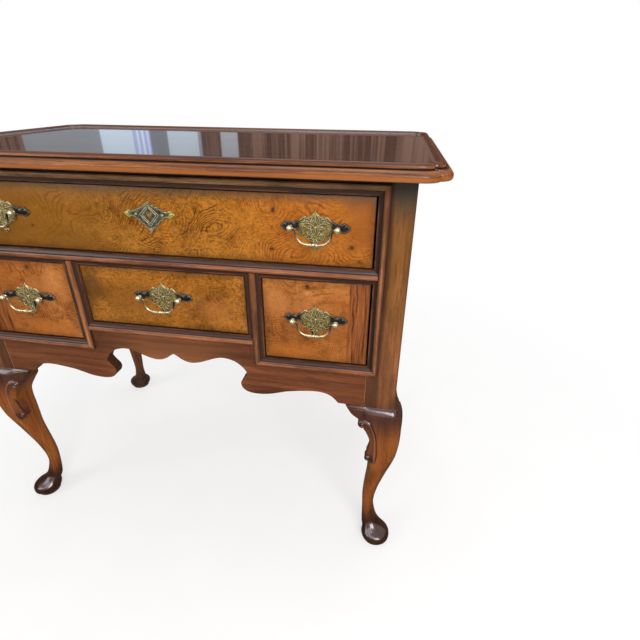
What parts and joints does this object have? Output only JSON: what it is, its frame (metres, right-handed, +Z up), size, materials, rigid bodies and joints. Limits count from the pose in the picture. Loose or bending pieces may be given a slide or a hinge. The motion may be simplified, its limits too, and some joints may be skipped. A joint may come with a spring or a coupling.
{
  "type": "lowboy",
  "caption": "Walnut lowboy, a low dressing chest with a wide drawer over a row of small ones, a shaped apron, cabriole legs on pad feet, a moulded dished top and brass bail handles.",
  "frame": {"origin": "on the floor, under the centre of the top", "axes": "+Z up, front faces -Y, +X to the right as seen from the front"},
  "size_m": [0.898, 0.524, 0.78],
  "materials": {
    "walnut_top": "polished",
    "walnut_front": "polished figured veneer",
    "walnut_case": "polished",
    "walnut_moulding": "polished, dark in the hollows",
    "walnut_leg": "polished",
    "secondary_wood": "unfinished",
    "brass": "aged"
  },
  "bodies": {
    "case": {"top_board": "walnut_top", "top_rail": "walnut_case", "front_apron": "walnut_case", "side_panel_left": "walnut_case", "side_panel_right": "walnut_case", "top_moulding": "walnut_moulding", "centre_bottom_moulding": "walnut_moulding", "middle_rail": "walnut_moulding", "stile_moulding_left": "walnut_moulding", "side_bottom_moulding_left": "walnut_moulding", "partition_left": "walnut_moulding", "front_leg_left": "walnut_leg", "rear_leg_left": "walnut_leg", "front_knee_bracket_left": "walnut_leg", "front_side_knee_bracket_left": "walnut_leg", "rear_side_knee_bracket_left": "walnut_leg", "top_runner_left": "secondary_wood", "side_runner_left": "secondary_wood", "stile_moulding_right": "walnut_moulding", "side_bottom_moulding_right": "walnut_moulding", "partition_right": "walnut_moulding", "front_leg_right": "walnut_leg", "rear_leg_right": "walnut_leg", "front_knee_bracket_right": "walnut_leg", "front_side_knee_bracket_right": "walnut_leg", "rear_side_knee_bracket_right": "walnut_leg", "top_runner_right": "secondary_wood", "side_runner_right": "secondary_wood", "back_panel": "secondary_wood"},
    "top_drawer": {"top_drawer_front": "walnut_front", "top_drawer_left_side": "secondary_wood", "top_drawer_right_side": "secondary_wood", "top_drawer_back": "secondary_wood", "top_drawer_bottom": "secondary_wood", "top_left_handle_plate": "brass", "top_right_handle_plate": "brass", "escutcheon": "brass"},
    "centre_drawer": {"centre_drawer_front": "walnut_front", "centre_drawer_left_side": "secondary_wood", "centre_drawer_right_side": "secondary_wood", "centre_drawer_back": "secondary_wood", "centre_drawer_bottom": "secondary_wood", "centre_handle_plate": "brass"},
    "right_drawer": {"right_drawer_front": "walnut_front", "right_drawer_left_side": "secondary_wood", "right_drawer_right_side": "secondary_wood", "right_drawer_back": "secondary_wood", "right_drawer_bottom": "secondary_wood", "right_handle_plate": "brass"},
    "left_drawer": {"left_drawer_front": "walnut_front", "left_drawer_left_side": "secondary_wood", "left_drawer_right_side": "secondary_wood", "left_drawer_back": "secondary_wood", "left_drawer_bottom": "secondary_wood", "left_handle_plate": "brass"},
    "top_left_handle_bail": {"top_left_handle_bail": "brass"},
    "top_right_handle_bail": {"top_right_handle_bail": "brass"},
    "centre_handle_bail": {"centre_handle_bail": "brass"},
    "right_handle_bail": {"right_handle_bail": "brass"},
    "left_handle_bail": {"left_handle_bail": "brass"}
  },
  "joints": [
    {"name": "top_drawer_slide", "type": "slide", "parent": "case", "child": "top_drawer", "axis": [0, -1, 0], "range_m": [0, 0.33]},
    {"name": "centre_drawer_slide", "type": "slide", "parent": "case", "child": "centre_drawer", "axis": [0, -1, 0], "range_m": [0, 0.33]},
    {"name": "right_drawer_slide", "type": "slide", "parent": "case", "child": "right_drawer", "axis": [0, -1, 0], "range_m": [0, 0.33]},
    {"name": "left_drawer_slide", "type": "slide", "parent": "case", "child": "left_drawer", "axis": [0, -1, 0], "range_m": [0, 0.33]},
    {"name": "top_left_handle_bail_swing", "type": "hinge", "parent": "top_drawer", "child": "top_left_handle_bail", "pos_m": [-0.262, -0.2389, 0.684], "axis": [-1, 0, 0], "range_deg": [-35, 135]},
    {"name": "top_right_handle_bail_swing", "type": "hinge", "parent": "top_drawer", "child": "top_right_handle_bail", "pos_m": [0.262, -0.2389, 0.684], "axis": [-1, 0, 0], "range_deg": [-35, 135]},
    {"name": "centre_handle_bail_swing", "type": "hinge", "parent": "centre_drawer", "child": "centre_handle_bail", "pos_m": [0, -0.2389, 0.5505], "axis": [-1, 0, 0], "range_deg": [-35, 135]},
    {"name": "right_handle_bail_swing", "type": "hinge", "parent": "right_drawer", "child": "right_handle_bail", "pos_m": [0.2627, -0.2389, 0.5305], "axis": [-1, 0, 0], "range_deg": [-35, 135]},
    {"name": "left_handle_bail_swing", "type": "hinge", "parent": "left_drawer", "child": "left_handle_bail", "pos_m": [-0.2627, -0.2389, 0.5305], "axis": [-1, 0, 0], "range_deg": [-35, 135]}
  ]
}
